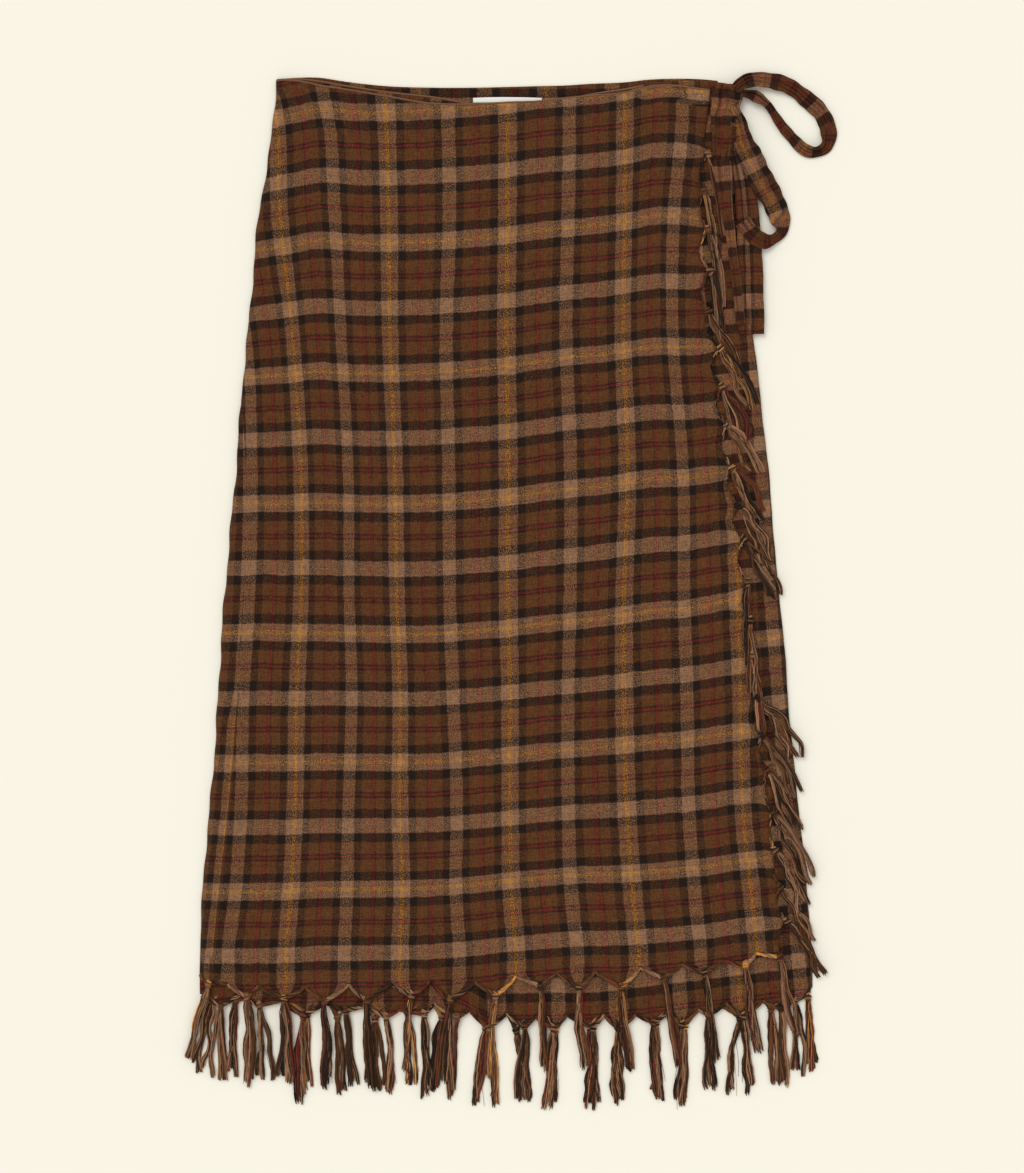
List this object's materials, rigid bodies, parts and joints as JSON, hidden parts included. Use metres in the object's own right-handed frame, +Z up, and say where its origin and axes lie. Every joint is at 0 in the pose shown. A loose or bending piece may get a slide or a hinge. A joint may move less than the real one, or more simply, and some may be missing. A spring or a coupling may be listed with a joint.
{
  "type": "plaid wrap skirt laid flat",
  "caption": "Fringed plaid wrap skirt laid flat, with overlapping fronts, knotted yarn fringes on the hem and free edge, and a strap tied in a bow at the side of the waist.",
  "frame": {"origin": "under the middle of the whole skirt's box, on the surface that it lies on", "axes": "+X across the skirt towards the side with the bow, +Y from the hem to the waist, +Z up from the surface to the outer face of the over front"},
  "size_m": [0.525, 0.8314, 0.0129],
  "materials": {
    "plaid_cloth": "brushed wool check in brown, black and tan with thin mustard and red lines",
    "strap_cloth": "the same brushed wool check, folded into a strap",
    "fringe_yarn": "plied woollen yarns in brown, black, tan, mustard and red",
    "label_tape": "plain off-white woven tape, blank"
  },
  "bodies": {
    "root": {"back_panel": "plaid_cloth", "under_front": "plaid_cloth", "over_front": "plaid_cloth", "waist_label": "label_tape", "bow_knot": "strap_cloth", "bow_loop_upper": "strap_cloth", "bow_loop_lower": "strap_cloth", "tail_square": "strap_cloth", "tail_narrow": "strap_cloth", "over_edge_fringe": "fringe_yarn", "over_hem_fringe": "fringe_yarn", "under_hem_fringe": "fringe_yarn", "back_hem_fringe": "fringe_yarn"}
  },
  "joints": []
}
